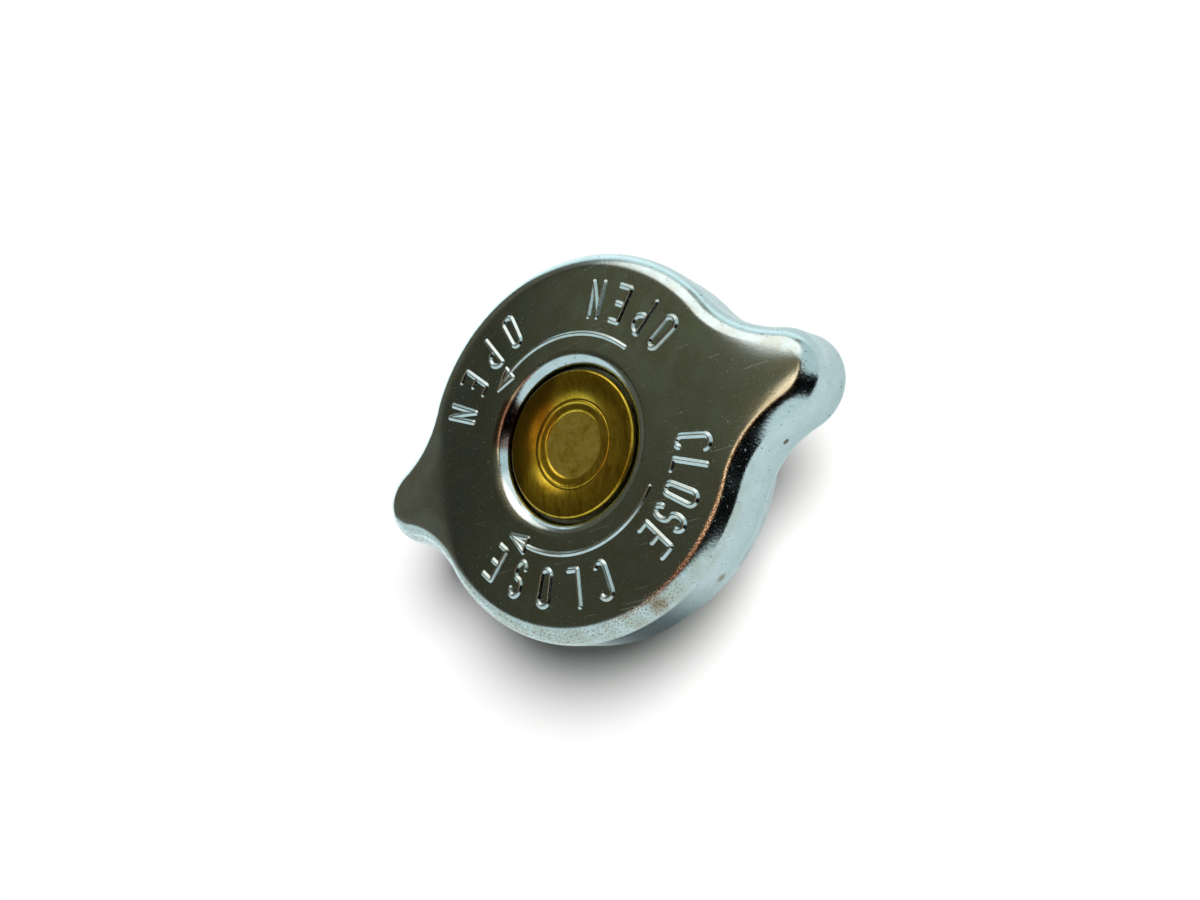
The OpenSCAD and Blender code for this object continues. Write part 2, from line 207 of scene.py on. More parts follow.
# %% Angles about the lens
view_axis = to_view.T @ np.array([0.0, 0.0, 1.0])
cap_axis = np.array([0.0, 0.0, 1.0])
aside = cap_axis - (cap_axis @ view_axis) * view_axis
aside = aside / np.linalg.norm(aside)
across = np.cross(aside, view_axis)
world = bpy.data.worlds.new("studio")
bpy.context.scene.world = world
world.use_nodes = True
sky_tree = world.node_tree
way = Wire(sky_tree, sky_tree.nodes.new("ShaderNodeTexCoord").outputs["Generated"])
sweep = way.math("ARCTAN2", way.along(aside.tolist()), way.along(view_axis.tolist())) * (180 / np.pi)
rise = way.math("ARCSINE", way.along(across.tolist())) * (180 / np.pi)
print("the flat top mirrors towards", np.round(2 * (view_axis @ cap_axis) * cap_axis - view_axis, 2))

# %% A white studio with a dark room in it
PALE, PALE_TOP, DIM_TOP = (0.87, 0.99, 1.0), (0.73, 0.87, 0.88), (0.17, 0.18, 0.16)
DARK_ROOM, ROOM_SEAM, FAR_ROOM = (0.072, 0.066, 0.040), (0.026, 0.026, 0.017), (0.145, 0.132, 0.096)
GOLD_WALL, COPPER_WALL, RED_WALL = (2.2, 1.65, 1.05), (1.2, 0.76, 0.45), (0.42, 0.18, 0.11)
LENS_SIDE, CEILING_LAMP, LAMP_WAY = (0.004, 0.004, 0.004), (1.75, 1.65, 1.55), (0.12, 0.77, 0.63)
HIGH_ROOM, OLIVE_WALL, BACK_WALL = (0.14, 0.132, 0.079), (0.22, 0.18, 0.10), (1.02, 1.24, 1.25)
WALL_LEAN, LEAN_FROM = 0.7, -5.0

wall = layered(RED_WALL, [(rise.step(-16, -6), COPPER_WALL), (rise.step(-4, 8), GOLD_WALL)])
wall_end = sweep + rise.math("MAXIMUM", rise, LEAN_FROM) * WALL_LEAN
high_up = way.along((0.0, 0.0, 1.0)).step(0.12, 0.32)
room = layered(DARK_ROOM, [
    (rise.step(-4, 9), HIGH_ROOM),
    (rise.step(8, 16) * sweep.step(60, 50), OLIVE_WALL),
    (sweep.step(31, 35) * wall_end.step(50, 44), wall),
    (sweep.step(34, 30), LENS_SIDE),
    (sweep.step(77, 80) * sweep.step(85, 82), ROOM_SEAM),
    (sweep.step(82, 87), FAR_ROOM),
    (rise.step(22, 30) * sweep.step(40, 34), PALE_TOP),
    (rise.step(8, 17) * sweep.step(28, 20), PALE_TOP),
    (rise.step(24, 34) * sweep.step(60, 76), high_up.blend(BACK_WALL, DIM_TOP)),
    (way.angle_from(LAMP_WAY).step(29, 18), CEILING_LAMP),
    (rise.step(-21, -29), PALE)])
print("world of", len(sky_tree.nodes), "nodes so far")

# %% The world as the camera, metal and matt surfaces see it
DIFFUSE_SHARE = 0.1
rays = sky_tree.nodes.new("ShaderNodeLightPath")
for_camera = Wire(sky_tree, rays.outputs["Is Camera Ray"])
for_gloss = Wire(sky_tree, rays.outputs["Is Glossy Ray"])
background = sky_tree.nodes["Background"]
sky_tree.links.new(for_camera.blend(room, (1.0, 1.0, 1.0)).socket, background.inputs["Color"])
level = DIFFUSE_SHARE + (1 - DIFFUSE_SHARE) * way.math("MAXIMUM", for_camera, for_gloss)
sky_tree.links.new(level.socket, background.inputs["Strength"])
print("matt surfaces take", DIFFUSE_SHARE, "of the world's light")

# %% [markdown]
# ## Floor and key light
# The cap stands on a white table. The table keeps the soft shadow of one broad light above the right ear, and its
# material shows metal an even white, as a white table under a window does, with one dark patch where the photograph's
# skirt mirrors a shadow. The light is a sun with a wide disc, so the whole table is lit alike. A lamp with a size
# would do as well, but its light falls off. Metal mirrors the world and not this light, which is left out of gloss.
# From below the table is clear, so that the valve can be looked at from there too.

# %% Floor
FLOOR_SIZE, FLOOR_GAP = 1.6, 0.05
corners = np.array([[-1, -1], [1, -1], [1, 1], [-1, 1]]) * FLOOR_SIZE
heights = np.full(len(corners), (FLOOR_Z - FLOOR_GAP) * MM)
floor_mesh = bpy.data.meshes.new("floor")
floor_mesh.from_pydata(np.c_[corners, heights].tolist(), [], [(0, 1, 2, 3)])
floor = bpy.data.objects.new("floor", floor_mesh)
bpy.context.scene.collection.objects.link(floor)
print("floor is", 2 * FLOOR_SIZE, "m across")

# %% The table as the camera and metal see it
TABLE_WHITE, TABLE_ROUGHNESS = (0.86, 0.86, 0.85), 0.9
GLOW_TINT, GLOW, GLOW_BEHIND, BEHIND_WAY = (0.84, 1.0, 1.01), 0.98, 0.8, (-0.6, 0.8, 0.0)
CAMERA_SHARE, METAL_SHARE = 0.03, 0.6
SHADE_X, SHADE_Y, SHADE_REACH, SHADE_DEPTH = -8.0, -45.0, 35.0, 0.9
floor_white = bpy.data.materials.new("floor_white")
floor_white.use_nodes = True
floor_tree = floor_white.node_tree
table = floor_tree.nodes["Principled BSDF"]
table.inputs["Base Color"].default_value = colour_of(TABLE_WHITE)
table.inputs["Roughness"].default_value = TABLE_ROUGHNESS
table.inputs["Specular IOR Level"].default_value = 0.0
floor_rays = floor_tree.nodes.new("ShaderNodeLightPath")
to_camera = Wire(floor_tree, floor_rays.outputs["Is Camera Ray"])
to_metal = Wire(floor_tree, floor_rays.outputs["Is Glossy Ray"])
spot_on_floor = Wire(floor_tree, floor_tree.nodes.new("ShaderNodeTexCoord").outputs["Object"])
behind = spot_on_floor.along(BEHIND_WAY).step(0.03, 0.12)
shade_place = (SHADE_X * MM, SHADE_Y * MM, FLOOR_Z * MM)
shade = spot_on_floor.near(shade_place, SHADE_REACH * MM).step(0.0, 0.95)
bright = (GLOW + behind * GLOW_BEHIND) * to_metal * (1 - SHADE_DEPTH * shade) + to_camera
glow = to_camera.node("ShaderNodeEmission", {}, {"Color": colour_of(GLOW_TINT), "Strength": bright})
share = to_camera * CAMERA_SHARE + to_metal * (METAL_SHARE + (1 - METAL_SHARE) * shade)
mixed = glow.node("ShaderNodeMixShader", {}, {0: share, 1: Wire(floor_tree, table.outputs[0]), 2: glow})
from_below = Wire(floor_tree, floor_tree.nodes.new("ShaderNodeNewGeometry").outputs["Backfacing"])
clear = glow.node("ShaderNodeBsdfTransparent")
sided = glow.node("ShaderNodeMixShader", {}, {0: from_below, 1: mixed, 2: clear})
floor_tree.links.new(sided.socket, floor_tree.nodes["Material Output"].inputs["Surface"])
floor_mesh.materials.append(floor_white)
print("metal sees the table by its own glow for a share of", METAL_SHARE)

# %% Key light
KEY_WAY, KEY_DISC, KEY_STRENGTH = (0.60, 0.13, 0.79), 25.0, 4.55
key_light = bpy.data.lights.new("key_light", "SUN")
key_light.energy, key_light.angle = KEY_STRENGTH, np.radians(KEY_DISC)
key = bpy.data.objects.new("key_light", key_light)
key.matrix_world = Vector(KEY_WAY).to_track_quat("Z", "Y").to_matrix().to_4x4()
key.visible_glossy = False
bpy.context.scene.collection.objects.link(key)
print("key light from", KEY_WAY, "with a disc of", KEY_DISC, "degrees")

# %% [markdown]
# ## Meshes from arrays
# Every new piece is a sheet of points with rows and columns. One helper turns such a grid into a mesh: it joins the
# last column to the first, and the last row to the first when the section is closed.


# %% A grid of points as a piece
def grid_faces(rows, columns, wrap_rows, wrap_columns):
    """Four corners of each cell of a grid, as point numbers row times columns plus column."""
    r = np.arange(rows if wrap_rows else rows - 1)[:, None]
    c = np.arange(columns if wrap_columns else columns - 1)[None, :]
    up, along = (r + 1) % rows, (c + 1) % columns
    cells = [r * columns + c, r * columns + along, up * columns + along, up * columns + c]
    return np.stack([np.broadcast_to(x, (len(r), c.shape[1])) for x in cells], -1).reshape(-1, 4)


def piece(name, points, faces, body, slot, material):
    """A smooth-shaded object at the origin from points in millimetres, riding on a body."""
    mesh = bpy.data.meshes.new(name)
    mesh.from_pydata((points * MM).tolist(), [], [list(map(int, f)) for f in faces])
    mesh.shade_smooth()
    mesh.materials.append(material)
    made = bpy.data.objects.new(name, mesh)
    bpy.context.scene.collection.objects.link(made)
    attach(made, body)
    return made


print("one cell of a grid of two rows and three columns:", grid_faces(2, 3, False, True)[0])

# %% [markdown]
# ## Zinc
# Bright zinc plating is a blue-white metal. On the flat top it is smooth and a little brown, with smudges, fine specks
# and a few hairlines. The bends and the skirt are grainy, with small dark pits and scratches. The lower edge is worn
# to brown specks, and the hole's lip has a brown stain on one side. Light is painted in too: painted shade darkens the
# skirt towards its lower edge, a painted highlight runs along the sheet's lower edge, a painted reflection of bronze
# with bright glints lies on the right edge, and the lip's lower left carries a painted highlight. These could be
# painted on an image, but noise on the piece's own coordinates gives each at its real size and on every side. All
# lengths in the shader are millimetres.


# %% Helpers for finishes
def new_finish(name, metallic):
    """A material with a Principled shader, and the Object coordinates in millimetres as its first wire."""
    material = bpy.data.materials.new(name)
    material.use_nodes = True
    tree = material.node_tree
    shader = tree.nodes["Principled BSDF"]
    shader.inputs["Metallic"].default_value = metallic
    place = Wire(tree, tree.nodes.new("ShaderNodeTexCoord").outputs["Object"])
    scaled = place.node("ShaderNodeVectorMath", {"operation": "SCALE"}, {0: place, "Scale": 1 / MM})
    return material, shader, scaled


def feed(shader, **wires):
    """Links wires to the shader's sockets, named with _ for a space."""
    for name, wire in wires.items():
        wire.tree.links.new(wire.socket, shader.inputs[name.replace("_", " ")])


def bumped(height, depth):
    """Normal of a surface that rises and falls by a depth, in millimetres, with the height."""
    return height.node("ShaderNodeBump", {}, {"Height": height, "Strength": 1.0, "Distance": depth * MM})


print("finishes start from Object coordinates, 1 unit =", MM, "m")

# %% Zinc plating: where on the pressing a point lies
zinc, zinc_shader, spot = new_finish("zinc_plating", 1.0)
split = spot.node("ShaderNodeSeparateXYZ", {}, {0: spot})
x_of, y_of, z_of = (Wire(split.tree, split.socket.node.outputs[k]) for k in range(3))
from_axis = x_of.math("SQRT", x_of * x_of + y_of * y_of)
past_bend = x_of.math("MAXIMUM", x_of.math("ABSOLUTE", x_of) - DROOP_X, 0.0) / (TIP_X - DROOP_X)
crown = (y_of / CROWN_HALF) * (y_of / CROWN_HALF) * EAR_CROWN
below_top = TOP_Z - (z_of + (EAR_DROOP + crown) * past_bend * past_bend)
above_edge = z_of - COVER_LOW_Z
on_flat = below_top.step(0.30, 0.03)
on_skirt = below_top.step(2.2, 3.4)
on_bend = (1 - on_flat) * (1 - on_skirt)
on_outer_bend = from_axis.step(20, 24) * below_top.step(0.04, 0.2) * below_top.step(2.4, 1.2)
on_lip = from_axis.step(14.9, 14.2)
lower_half = y_of.step(-8, -20)
print("the flat top ends", EDGE_R, "mm inside the outline")

# %% Zinc plating: grain and wear on every side
def scored(factors, turned, detail, low, high):
    """Thin straight marks: noise stretched along one direction, where it passes a limit."""
    return spot.stretch(factors, turned).noise(1.0, detail).step(low, high)


cloud, grain = spot.noise(0.30, 4.0, 0.62), spot.noise(2.7, 3.0, 0.6)
smudge = spot.noise(0.17, 5.0, 0.66, 0.8).step(0.42, 0.70) * on_flat
specks = spot.noise(2.4, 2.0, 0.6).step(0.66, 0.74) * on_flat
pits = spot.noise(2.3, 2.0, 0.55).step(0.685, 0.72) * (1 - on_flat)
hairs = scored((0.09, 6.0, 1.0), (0, 0, 0.5), 1.0, 0.75, 0.77)
hairs = (hairs + scored((0.08, 5.0, 1.0), (0, 0, -0.9), 1.0, 0.75, 0.77)) * on_flat
one_way = scored((0.3, 0.3, 5.0), (0.7, 0.5, 0.3), 2.0, 0.69, 0.72)
other_way = scored((4.5, 0.4, 0.3), (0.5, 0.9, 1.2), 2.0, 0.70, 0.73)
scratches = one_way.math("MAXIMUM", one_way, other_way) * on_skirt
print("wear of", len(zinc.node_tree.nodes), "nodes so far")

# %% Zinc plating: marks and painted light at their own places
RUST_SPOTS = [((10.85, -26.84, 7.13), 2.6), ((17.7, -24.2, 0.4), 1.3)]
DEEP_PIT, PIT_REACH = (31.5, -8.2, 1.4), 1.0
LIP_STAIN, STAIN_REACH, LIP_HIGHLIGHT, HIGHLIGHT_REACH = (-11.2, 6.5, 7.0), 6.2, (-11.8, -5.5, 7.0), 7.0
LOW_SIDE, RIGHT_SIDE = (-0.5, -0.87, 0.0), (0.8, -0.6, 0.0)
rust = sum(spot.near(middle, reach) for middle, reach in RUST_SPOTS)
rust = rust.math("MINIMUM", rust, 1.0)
worn = on_outer_bend * spot.along(LOW_SIDE).step(9, 19) * spot.noise(3.2, 3.0, 0.7).step(0.52, 0.60)
deep_pit = spot.near(DEEP_PIT, PIT_REACH).step(0.15, 0.5)
lip_stain = spot.near(LIP_STAIN, STAIN_REACH).step(0.1, 0.45) * on_lip
# painted highlight: the lip's lower left is made near white, where a white band is mirrored
lip_highlight = spot.near(LIP_HIGHLIGHT, HIGHLIGHT_REACH).step(0.1, 0.5) * on_lip
# painted reflection: a thin line of bronze with bright glints along the right edge's round-over
glint_line = below_top.step(0.01, 0.03) * below_top.step(0.24, 0.14)
glint_line = glint_line * spot.along(RIGHT_SIDE).step(17, 23) * y_of.step(1, -3)
glints = spot.noise(4.0, 2.0, 0.6).step(0.44, 0.64)
print("rust at", len(RUST_SPOTS), "places, and a pit at", DEEP_PIT)

# %% Zinc plating: colour
ZINC_LIGHT, ZINC_MID, ZINC_BROWN = (0.54, 0.64, 0.66), (0.44, 0.54, 0.55), (0.48, 0.50, 0.42)
SMUDGE_GREY, SKIRT_SHADE, SCRATCH_GREY = (0.27, 0.29, 0.25), (0.33, 0.43, 0.43), (0.20, 0.25, 0.25)
BEND_OLIVE, GLINT_BROWN, GLINT_WHITE = (0.43, 0.46, 0.38), (0.20, 0.16, 0.12), (0.88, 0.84, 0.76)
STAIN_BROWN, HIGHLIGHT_WHITE = (0.20, 0.115, 0.09), (0.84, 0.88, 0.87)
PIT_BROWN, RUST_BROWN = (0.12, 0.098, 0.07), (0.27, 0.17, 0.075)
tone = cloud.step(0.3, 0.72) * 0.6 + grain.step(0.3, 0.75) * 0.4
plated = layered(tone.blend(ZINC_LIGHT, ZINC_MID), [
    (on_flat * cloud.step(0.42, 0.66) * 0.5, ZINC_BROWN),
    (smudge * 0.28, SMUDGE_GREY),
    # painted shade: the skirt is made darker towards its lower edge
    (on_skirt * above_edge.step(4.5, 0.0) * 0.4, SKIRT_SHADE),
    # painted highlight: a light line along the sheet's lower edge
    (above_edge.step(0.55, 0.3) * 0.8, ZINC_LIGHT),
    (scratches * 0.3, SCRATCH_GREY),
    (on_bend * lower_half * cloud.step(0.35, 0.6) * 0.5, BEND_OLIVE),
    # painted reflection of bronze and bright glints on the right edge
    (glint_line * 0.9, glints.blend(GLINT_BROWN, GLINT_WHITE)),
    (lip_stain * (0.6 + grain * 0.6), STAIN_BROWN),
    # painted highlight on the lip's lower left
    (lip_highlight, HIGHLIGHT_WHITE),
    ((worn + rust) * 0.7, RUST_BROWN),
    (pits.math("MAXIMUM", pits, deep_pit), PIT_BROWN)])
print("zinc goes from", ZINC_LIGHT, "to", ZINC_MID)

# %% Zinc plating: roughness and bumps
ZINC_BUMP = 0.035
rough = 0.10 + cloud * 0.08 + on_skirt * 0.16 + (worn + rust) * 0.3
rough = rough + specks * 0.22 + hairs * 0.05 + smudge * 0.05
height = grain * (0.2 + 0.35 * (1 - on_flat)) + hairs * 0.1 - pits * 0.6 - scratches * 0.3
feed(zinc_shader, Base_Color=plated, Roughness=rough, Normal=bumped(height, ZINC_BUMP))
print("zinc plating has", len(zinc.node_tree.nodes), "nodes")

# %% [markdown]
# ## Cover
# The cover is one pressing. Its outline is a circle with two ears that run into it through hollow curves, and its
# section climbs the skirt, turns over a round edge, crosses the flat top and turns down into the hole. It could be
# modelled by hand and subdivided, but carrying the section round the outline keeps every bend at its true radius.


# %% Outline of the pressing
def arc(centre, radius, start, stop, count):
    """Points on a circle, centre plus radius times cosine and sine, without the last one, and their directions."""
    t = np.linspace(start, stop, count, endpoint=False)
    outward = np.stack([np.cos(t), np.sin(t)], 1)
    return np.array(centre) + radius * outward, outward


def cover_outline(tip_r):
    """Hollow curve, ear, hollow curve and round side, each tangent to the next, then the same turned by a half turn.
    The hollow's centre is where circles of radii cover + hollow and tip + hollow about the two centres cross."""
    ear_x = COVER_R + EAR_OFFSET
    hollow_x = (ear_x**2 + (COVER_R + HOLLOW_R) ** 2 - (tip_r + HOLLOW_R) ** 2) / (2 * ear_x)
    hollow_y = np.sqrt((COVER_R + HOLLOW_R) ** 2 - hollow_x**2)
    a, b = np.arctan2(hollow_y, hollow_x), np.arctan2(hollow_y, hollow_x - ear_x)
    runs = [arc((hollow_x, -hollow_y), HOLLOW_R, np.pi - a, np.pi - b, 36),
            arc((ear_x, 0), tip_r, -b, b, 56),
            arc((hollow_x, hollow_y), HOLLOW_R, np.pi + b, np.pi + a, 36),
            arc((0, 0), COVER_R, a, np.pi - a, 128)]
    places = np.concatenate([run[0] for run in runs])
    ways = np.concatenate([runs[0][1] * -1, runs[1][1], runs[2][1] * -1, runs[3][1]])
    return np.concatenate([places, -places]), np.concatenate([ways, -ways])


upper_outline, lower_outline = cover_outline(EAR_R), cover_outline(EAR_R + EAR_FLARE)
over_ears = 2 * float(lower_outline[0][:, 0].max())
print(f"outline of {len(upper_outline[0])} points, {over_ears:.1f} mm over the ears")

# %% Section and surface of the pressing
EDGE_LOW_Z = TOP_Z - EDGE_R
SHEET_ROUND = 0.25


def bend(centre, radius, start, stop, count=14):
    """Points round a bend of the section, as inset or radius and height, for angles in degrees."""
    t = np.radians(np.linspace(start, stop, count))
    return np.stack([centre[0] + radius * np.cos(t), centre[1] + radius * np.sin(t)], 1)


def drooped(rows, share):
    """Rows bent down along the ears: z falls by the square of how far x is past the bend's start, times a droop
    that grows with the square of y, so that an ear is a little crowned across."""
    past = np.clip((np.abs(rows[..., 0]) - DROOP_X) / (TIP_X - DROOP_X), 0, None)
    fall = EAR_DROOP + EAR_CROWN * (rows[..., 1] / CROWN_HALF) ** 2
    return np.stack([rows[..., 0], rows[..., 1], rows[..., 2] - share * fall * past**2], -1)


def edge_rows(section):
    """Each point of the section carried round the outline: the outline moved in by the inset. Below the round edge
    the outline leans from the upper one to the flared lower one in step with the height."""
    lean = np.clip((EDGE_LOW_Z - section[:, 1]) / (EDGE_LOW_Z - COVER_LOW_Z), 0, 1)[:, None, None]
    places = (1 - lean) * upper_outline[0] + lean * lower_outline[0]
    ways = (1 - lean) * upper_outline[1] + lean * lower_outline[1]
    moved = places - section[:, 0, None, None] * ways
    rows = np.concatenate([moved, np.broadcast_to(section[:, 1, None, None], moved[..., :1].shape)], -1)
    return drooped(rows, 1 - lean[..., 0])


def hole_rows(section):
    """Each point of the section carried round the hole: its radius times the direction of the outline's point."""
    edge = upper_outline[0] - EDGE_R * upper_outline[1]
    rays = edge / np.linalg.norm(edge, axis=1)[:, None]
    moved = section[:, 0, None, None] * rays
    return np.concatenate([moved, np.broadcast_to(section[:, 1, None, None], moved[..., :1].shape)], -1)


def spread(first, last, count):
    """Rows between two rows, at even shares of the way."""
    share = np.linspace(0, 1, count + 2)[1:-1, None, None]
    return first + share * (last - first)


def line(first, last, count):
    """Points of the section on a straight line, without its ends."""
    share = np.linspace(0, 1, count + 2)[1:-1, None]
    return np.array(first) + share * (np.array(last) - np.array(first))


lip_edge, lip_low = HOLE_R + LIP_R, TOP_Z - LIP_R
outer_edge = edge_rows(np.concatenate([
    bend((SHEET_ROUND, COVER_LOW_Z + SHEET_ROUND), SHEET_ROUND, 270, 180, 5),
    line((0, COVER_LOW_Z + SHEET_ROUND), (0, EDGE_LOW_Z), 6),
    bend((EDGE_R, EDGE_LOW_Z), EDGE_R, 180, 90, 18)]))
outer_lip = hole_rows(np.concatenate([
    bend((lip_edge, lip_low), LIP_R, 90, 180, 20),
    line((HOLE_R, lip_low), (HOLE_R, PLATE_TOP_Z), 2),
    [(HOLE_R, PLATE_TOP_Z), (HOLE_R + COVER_T, PLATE_TOP_Z)],
    bend((lip_edge, lip_low), LIP_R - COVER_T, 180, 90, 8)]))
inner_edge = edge_rows(np.concatenate([
    bend((EDGE_R, EDGE_LOW_Z), EDGE_R - COVER_T, 90, 180, 10),
    line((COVER_T, EDGE_LOW_Z), (COVER_T, COVER_LOW_Z + SHEET_ROUND), 3),
    bend((COVER_T - SHEET_ROUND, COVER_LOW_Z + SHEET_ROUND), SHEET_ROUND, 0, -90, 5)]))
flat_rim = edge_rows(np.array([(EDGE_R, TOP_Z), (EDGE_R, TOP_Z - COVER_T)])) * (1, 1, 0)
flat_top = drooped(spread(flat_rim[0] + (0, 0, TOP_Z), outer_lip[0], 14), 1)
underside = drooped(spread(outer_lip[-1], flat_rim[1] + (0, 0, TOP_Z - COVER_T), 8), 1)
cover_rows = np.concatenate([outer_edge, flat_top, outer_lip, underside, inner_edge])
cover = piece("cover_pressing", cover_rows.reshape(-1, 3), grid_faces(*cover_rows.shape[:2], True, True),
              "cap", "zinc_steel", zinc)
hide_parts("cover_shell")
print("cover pressing:", len(cover.data.polygons), "faces")

# %% [markdown]
# ## Embossed words and arrows
# The dies raise round beads on the flat top: words that say which way the cap turns, and an arrow for each.
# Text objects would give flat letters with square edges. Here each stroke is a path with a bell-shaped section, which
# leaves the sheet and meets it again without a crease, as pressed metal does. The words are plain OPEN and CLOSE, so
# that the part carries no maker's words.

# %% Strokes of the letters
LETTER_W, LETTER_H = 1.8, 5.4


def curve(centre, radii, start, stop, count=20):
    """Points of an ellipse's arc, for angles in degrees."""
    t = np.radians(np.linspace(start, stop, count))
    return np.stack([centre[0] + radii[0] * np.cos(t), centre[1] + radii[1] * np.sin(t)], 1)


half_w = LETTER_W / 2
ROUND_TOP, ROUND_LOW = (half_w, LETTER_H - half_w), (half_w, half_w)
round_pair = (half_w, half_w)
bowl_r = LETTER_H * 0.26
LETTERS = {
    "O": [np.concatenate([curve(ROUND_TOP, round_pair, 0, 180), curve(ROUND_LOW, round_pair, 180, 360),
                          [(LETTER_W, LETTER_H - half_w)]])],
    "P": [np.array([(0, 0), (0, LETTER_H)]),
          np.concatenate([[(0, LETTER_H)], curve((LETTER_W - bowl_r, LETTER_H - bowl_r), (bowl_r, bowl_r), 90, -90),
                          [(0, LETTER_H - 2 * bowl_r)]])],
    "E": [np.array([(LETTER_W, LETTER_H), (0, LETTER_H), (0, 0), (LETTER_W, 0)]),
          np.array([(0, LETTER_H / 2), (LETTER_W * 0.85, LETTER_H / 2)])],
    "N": [np.array([(0, 0), (0, LETTER_H)]), np.array([(0, LETTER_H), (LETTER_W, 0)]),
          np.array([(LETTER_W, 0), (LETTER_W, LETTER_H)])],
    "C": [np.concatenate([curve(ROUND_TOP, round_pair, 20, 180), curve(ROUND_LOW, round_pair, 180, 340)])],
    "L": [np.array([(0, LETTER_H), (0, 0), (LETTER_W, 0)])],
    "S": [np.concatenate([curve((half_w, LETTER_H - LETTER_H / 4), (half_w, LETTER_H / 4), 20, 270),
                          curve((half_w, LETTER_H / 4), (half_w, LETTER_H / 4), 90, -160)])],
}
print("letters:", "".join(LETTERS))


# %% Beads along the strokes
DOME_END, BEAD_SINK, BASE_SINK = 0.98, 0.004, 0.15


def even(path, step):
    """The path walked at an even step: its points interpolated at equal lengths along it."""
    lengths = np.r_[0, np.cumsum(np.linalg.norm(np.diff(path, axis=0), axis=1))]
    at = np.linspace(0, lengths[-1], max(int(lengths[-1] / step), 3) + 1)
    return np.stack([np.interp(at, lengths, path[:, k]) for k in (0, 1)], 1)


def bead(path, half_width, height, sides=10, cap_rows=6):
    """Raised bead along a path on the flat top. Its height over a point is that of the bell
    cos(pi rho / 2 w) squared, where rho is the distance from the path; past the ends rho is the distance from the
    end point, so the bead closes in a dome. A flat base inside the sheet closes the section."""
    tangent = np.gradient(path, axis=0)
    tangent /= np.linalg.norm(tangent, axis=1)[:, None]
    past = half_width * np.sin(np.linspace(0, 1, cap_rows + 1)[1:] * np.pi / 2 * DOME_END)
    centre = np.concatenate([path[0] - past[::-1, None] * tangent[0], path, path[-1] + past[:, None] * tangent[-1]])
    way = np.concatenate([np.repeat(tangent[:1], cap_rows, 0), tangent, np.repeat(tangent[-1:], cap_rows, 0)])
    beyond = np.concatenate([past[::-1], np.zeros(len(path)), past])[:, None]
    reach = np.sqrt(half_width**2 - beyond**2)
    aside_by = reach * np.linspace(1, -1, sides + 1)
    rho = np.hypot(aside_by, beyond)
    top = height * np.cos(np.pi / 2 * rho / half_width) ** 2 - BEAD_SINK
    left = np.stack([-way[:, 1], way[:, 0]], 1)
    crown = centre[:, None] + aside_by[..., None] * left[:, None]
    base = crown[:, [-1, 0]]
    rows = np.concatenate([np.concatenate([crown, (TOP_Z + top)[..., None]], -1),
                           np.concatenate([base, np.full(base[..., :1].shape, TOP_Z - BASE_SINK)], -1)], 1)
    count, columns = rows.shape[:2]
    faces = grid_faces(count, columns, False, True).tolist()
    ends = [list(range(columns))[::-1], list(range((count - 1) * columns, count * columns))]
    return rows.reshape(-1, 3), faces + ends


def bead_piece(name, strokes, half_width, height, step):
    """All the beads of one kind as one piece."""
    made = [bead(even(stroke, step), half_width, height) for stroke in strokes]
    starts = np.cumsum([0] + [len(points) for points, _ in made])
    points = np.concatenate([points for points, _ in made])
    faces = [[corner + start for corner in face] for (_, cells), start in zip(made, starts) for face in cells]
    return piece(name, points, faces, "cap", "zinc_steel", zinc)


print("a bead's base lies", BASE_SINK, "mm inside the sheet")

# %% Words
WORD_IN_R, WORD_OUT_R, LETTER_MID, LETTER_STEP = 19.2, 24.8, 3.0, 0.2
WORD_BEAD, BEAD_STEP = (0.48, 0.27), 0.14
WORDS = [("OPEN", 47, 12, WORD_OUT_R, False), ("OPEN", 130, 14, WORD_OUT_R, False),
         ("CLOSE", -36, 9.6, WORD_IN_R, True), ("CLOSE", -110, 14, WORD_IN_R, True)]


def word_strokes(word, middle, pitch, base_r, outward):
    """Strokes of a word bent round the cap. A letter's own x and y become an angle and a radius: with its top outward
    a word runs clockwise, and with its top towards the middle it runs the other way."""
    runs = -1 if outward else 1
    middle_r = base_r - runs * LETTER_MID
    strokes = []
    for place, letter in enumerate(word):
        angle = np.radians(middle + runs * (place - (len(word) - 1) / 2) * pitch)
        for stroke in LETTERS[letter]:
            fine = even(stroke, LETTER_STEP)
            r = base_r - runs * fine[:, 1]
            turned = angle + runs * (fine[:, 0] - LETTER_W / 2) / middle_r
            strokes.append(np.stack([r * np.cos(turned), r * np.sin(turned)], 1))
    return strokes


words = [stroke for word in WORDS for stroke in word_strokes(*word)]
embossed_words = bead_piece("embossed_words", words, *WORD_BEAD, BEAD_STEP)
print("words:", len(words), "strokes,", len(embossed_words.data.polygons), "faces")

# %% Arrows
ARROW_R, HEAD_LENGTH, HEAD_HALF, ARROW_BEAD = 16.8, 3.4, 1.15, (0.4, 0.19)


def arrow_strokes(tail, tip):
    """An arc from a tail to a tip, in degrees, and the three sides of a thin triangle that ends at the tip."""
    t = np.radians(np.linspace(tail, tip, 120))
    shaft = ARROW_R * np.stack([np.cos(t), np.sin(t)], 1)
    back = t[-1] - np.sign(tip - tail) * HEAD_LENGTH / ARROW_R
    wings = [(ARROW_R + side * HEAD_HALF) * np.array([np.cos(back), np.sin(back)]) for side in (1, -1)]
    return [shaft, np.array([wings[0], shaft[-1]]), np.array([wings[1], shaft[-1]]), np.array(wings)]


turns = arrow_strokes(40, 133) + arrow_strokes(-39, -138)
arrows = bead_piece("embossed_arrows", turns, *ARROW_BEAD, BEAD_STEP)
print("arrows:", len(arrows.data.polygons), "faces")

